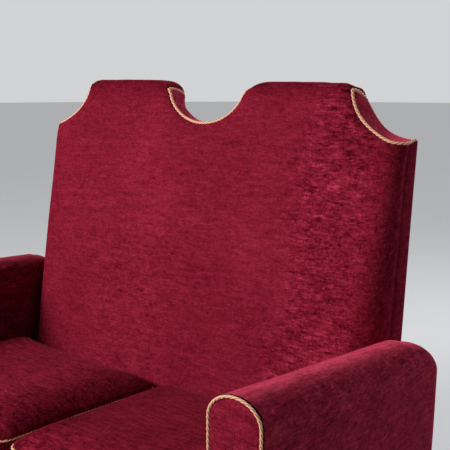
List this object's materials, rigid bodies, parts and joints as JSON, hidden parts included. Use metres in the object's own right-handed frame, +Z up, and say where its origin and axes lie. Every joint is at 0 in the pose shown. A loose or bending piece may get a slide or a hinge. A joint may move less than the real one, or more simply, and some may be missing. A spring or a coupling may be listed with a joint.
{
  "type": "upholstered settee",
  "caption": "Fully upholstered high-backed settee with a scalloped back edged in twisted cord, padded arms, loose corded seat cushions and turned legs.",
  "frame": {"origin": "on the floor, under the middle of the settee's bounding box", "axes": "+Z up, +X along the width to the right of a viewer facing the settee, +Y from the seat front to the back"},
  "size_m": [1.42, 0.7792, 1.22],
  "materials": {
    "velvet": "crushed chenille velvet",
    "velvet_band": "crushed chenille velvet, cut across",
    "gold_cord": "twisted rayon cord",
    "beech": "planed",
    "plywood": "sawn",
    "mahogany": "satin lacquer",
    "foam": "open-cell foam",
    "wadding": "felted",
    "deck_cotton": "plain weave",
    "black_cambric": "non-woven",
    "zip_tape": "twill tape",
    "zip_brass": "plated",
    "nylon_glide": "moulded"
  },
  "bodies": {
    "settee": {"arm_cover_left": "velvet", "arm_cover_right": "velvet", "arm_pad_left": "wadding", "arm_pad_right": "wadding", "arm_panel_cord_left": "gold_cord", "arm_panel_cord_right": "gold_cord", "arm_panel_left": "velvet", "arm_panel_right": "velvet", "arm_post_back_left": "beech", "arm_post_back_right": "beech", "arm_post_front_left": "beech", "arm_post_front_right": "beech", "arm_rail_left": "beech", "arm_rail_right": "beech", "back_centre_post": "beech", "back_cover_front": "velvet", "back_cover_rear": "velvet", "back_lower_rail": "beech", "back_pad": "wadding", "back_post_left": "beech", "back_post_right": "beech", "back_rail": "beech", "back_side_band_left": "velvet_band", "back_side_band_right": "velvet_band", "back_top_board": "plywood", "centre_rail": "beech", "deck_cloth": "deck_cotton", "dust_cover": "black_cambric", "front_border": "velvet", "front_rail": "beech", "glide_back_left": "nylon_glide", "glide_back_right": "nylon_glide", "glide_front_left": "nylon_glide", "glide_front_right": "nylon_glide", "leg_back_left": "mahogany", "leg_back_right": "mahogany", "leg_front_left": "mahogany", "leg_front_right": "mahogany", "scallop_band_centre": "velvet_band", "scallop_band_left": "velvet_band", "scallop_band_right": "velvet_band", "scallop_cord_centre": "gold_cord", "scallop_cord_left": "gold_cord", "scallop_cord_right": "gold_cord", "seat_board_left": "plywood", "seat_board_right": "plywood", "side_rail_left": "beech", "side_rail_right": "beech"},
    "cushion_left": {"seat_foam_left": "foam", "seat_cover_left": "velvet", "seat_cord_top_left": "gold_cord", "seat_cord_bottom_left": "gold_cord", "zip_tape_left": "zip_tape"},
    "cushion_right": {"seat_foam_right": "foam", "seat_cover_right": "velvet", "seat_cord_top_right": "gold_cord", "seat_cord_bottom_right": "gold_cord", "zip_tape_right": "zip_tape"},
    "zip_pull_left": {"zip_slider_left": "zip_brass"},
    "zip_pull_right": {"zip_slider_right": "zip_brass"}
  },
  "joints": [
    {"name": "lift_out_left", "type": "slide", "parent": "settee", "child": "cushion_left", "axis": [0, 0, 1], "range_m": [0, 0.45]},
    {"name": "lift_out_right", "type": "slide", "parent": "settee", "child": "cushion_right", "axis": [0, 0, 1], "range_m": [0, 0.45]},
    {"name": "zip_left", "type": "slide", "parent": "cushion_left", "child": "zip_pull_left", "axis": [-1, 0, 0], "range_m": [0, 0.376]},
    {"name": "zip_right", "type": "slide", "parent": "cushion_right", "child": "zip_pull_right", "axis": [-1, 0, 0], "range_m": [0, 0.376]}
  ]
}
